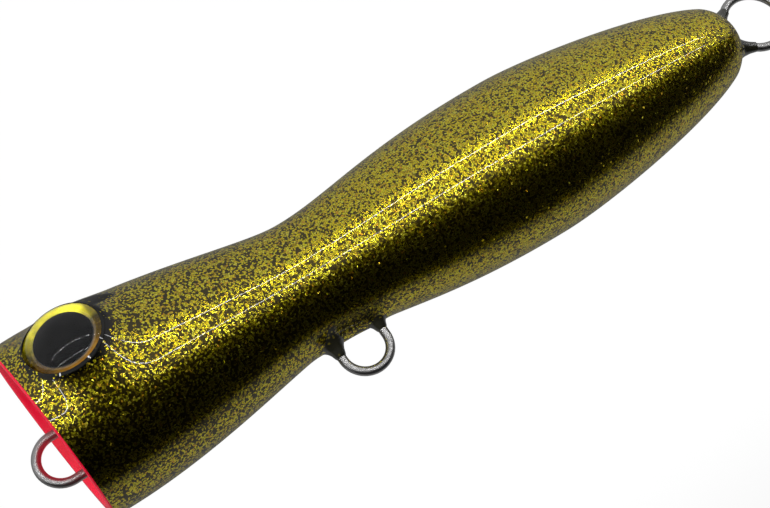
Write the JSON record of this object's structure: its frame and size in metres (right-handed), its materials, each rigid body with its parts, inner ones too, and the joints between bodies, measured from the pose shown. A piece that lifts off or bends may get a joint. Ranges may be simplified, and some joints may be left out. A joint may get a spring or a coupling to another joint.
{
  "type": "topwater popper",
  "caption": "Surface fishing lure with a scooped red face, a waisted timber body in gold glitter, and a wire through it that ends in a tow loop, a belly loop and a tail loop.",
  "frame": {"origin": "centre of the tow loop's eye, on the lure's upright mid-plane", "axes": "+X runs along the body's axis from the cup to the tail, +Z towards the lure's back with the belly loop below, and -Y is its left side"},
  "size_m": [0.1775, 0.0434, 0.0401],
  "materials": {
    "glitter_coat": "gloss",
    "red_lacquer": "gloss",
    "stainless_wire": "polished",
    "copper": "satin",
    "epoxy": "gloss",
    "lead": "matte",
    "timber": "matte",
    "black_plastic": "gloss",
    "gold_foil": "gloss",
    "clear_resin": "polished"
  },
  "bodies": {
    "root": {"body_coat": "glitter_coat", "cup_coat": "red_lacquer", "through_wire": "stainless_wire", "splice_sleeve_front": "copper", "splice_sleeve_rear": "copper", "cup_collar_upper": "epoxy", "cup_collar_lower": "epoxy", "belly_collar_front": "epoxy", "belly_collar_rear": "epoxy", "tail_collar_upper": "epoxy", "tail_collar_lower": "epoxy", "mid_ballast": "lead", "rear_ballast": "lead", "body_half_left": "timber", "eye_backing_left": "black_plastic", "iris_ring_left": "gold_foil", "eye_dome_left": "clear_resin", "body_half_right": "timber", "eye_backing_right": "black_plastic", "iris_ring_right": "gold_foil", "eye_dome_right": "clear_resin"}
  },
  "joints": []
}
